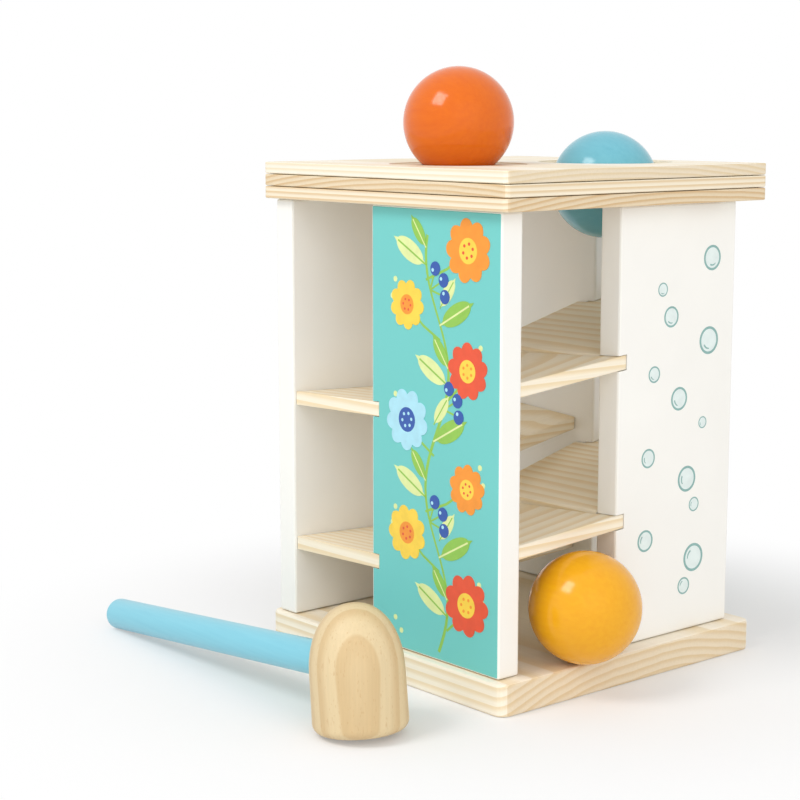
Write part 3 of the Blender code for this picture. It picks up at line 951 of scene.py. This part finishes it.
PAPER_TONE = 0.84
FADE_START, FADE_END, FADE_LEAST = 0.12, 0.27, 0.14
SURROUND_LIGHT = 0.76
WINDOW_SIDE, WINDOW_POWER = 0.66, 10.5
FILL_WIDTH, FILL_HEIGHT, FILL_POWER = 1.3, 1.1, 6.5
LENS = 84.0


def seen_directly(tree):
    """1 for a ray from the camera, a mirror or a clear piece, and 0 for one that only brings light."""
    path = add(tree, "ShaderNodeLightPath")
    seen = path.outputs["Is Camera Ray"]
    for kind in ("Is Glossy Ray", "Is Transmission Ray"):
        either = add(tree, "ShaderNodeMath", {0: seen, 1: path.outputs[kind]}, operation="MAXIMUM")
        seen = either.outputs[0]
    return seen


bpy.ops.mesh.primitive_plane_add(size=8)
table = bpy.context.object
table.name = "white_table"
table_white, tree, shader = new_finish("white_table_paper")
tree.nodes.remove(shader)
output = tree.nodes["Material Output"]
paper = add(tree, "ShaderNodeBsdfDiffuse", {"Color": (PAPER_TONE, PAPER_TONE, PAPER_TONE, 1)})
# The paper keeps its shadows near the tower and fades to plain white from there outwards.
place = add(tree, "ShaderNodeTexCoord").outputs["Object"]
distance = add(tree, "ShaderNodeVectorMath", {0: place}, operation="LENGTH")
fade = add(
    tree,
    "ShaderNodeMapRange",
    {
        "Value": distance.outputs["Value"],
        "From Min": FADE_START,
        "From Max": FADE_END,
        "To Min": FADE_LEAST,
        "To Max": 1.0,
    },
    interpolation_type="SMOOTHSTEP",
)
share = add(tree, "ShaderNodeMath", {0: seen_directly(tree), 1: fade.outputs[0]}, operation="MULTIPLY")
glow = add(tree, "ShaderNodeEmission", {"Color": (1, 1, 1, 1), "Strength": 1.0})
both = add(tree, "ShaderNodeMixShader", {0: share.outputs[0], 1: paper.outputs[0], 2: glow.outputs[0]})
tree.links.new(both.outputs[0], output.inputs["Surface"])
table.data.materials.append(table_white)

world = bpy.data.worlds.new("white_surround")
bpy.context.scene.world = world
world.use_nodes = True
tree = world.node_tree
level = add(
    tree,
    "ShaderNodeMapRange",
    {"Value": seen_directly(tree), "To Min": SURROUND_LIGHT, "To Max": 1.0},
)
tree.links.new(level.outputs[0], tree.nodes["Background"].inputs["Strength"])
tree.nodes["Background"].inputs["Color"].default_value = (1, 1, 1, 1)

CAMERA_PLACE = Vector((0.5947, -0.5703, 0.2410))
LOOK_AT = Vector((-0.0343, -0.0357, 0.1113))
MIDDLE = Vector((0, 0, 0.11))
toward = (CAMERA_PLACE - MIDDLE).normalized()
left = Vector((toward.y, -toward.x, 0)).normalized()


def soft_lamp(name, offset, width, height, power):
    """An area lamp at an offset from the tower's middle, turned towards it."""
    bpy.ops.object.light_add(type="AREA", location=MIDDLE + offset)
    lamp = bpy.context.object
    lamp.name = name
    lamp.rotation_euler = offset.to_track_quat("Z", "Y").to_euler()
    lamp.data.shape = "RECTANGLE"
    lamp.data.size = width
    lamp.data.size_y = height
    lamp.data.energy = power
    return lamp


window_offset = 0.75 * toward + 0.95 * left + Vector((0, 0, 1.15))
soft_lamp("window_lamp", window_offset, WINDOW_SIDE, WINDOW_SIDE, WINDOW_POWER)
fill_offset = 1.25 * toward - 0.4 * left + Vector((0, 0, 0.35))
fill_lamp = soft_lamp("fill_lamp", fill_offset, FILL_WIDTH, FILL_HEIGHT, FILL_POWER)
# Without this, the lamp shows as a pale square on the balls.
fill_lamp.visible_glossy = False

bpy.ops.object.camera_add(location=CAMERA_PLACE)
camera = bpy.context.object
camera.rotation_euler = (CAMERA_PLACE - LOOK_AT).to_track_quat("Z", "Y").to_euler()
camera.data.lens = LENS
camera.data.clip_start = 0.01
bpy.context.scene.camera = camera
bpy.context.scene.view_settings.view_transform = "Standard"
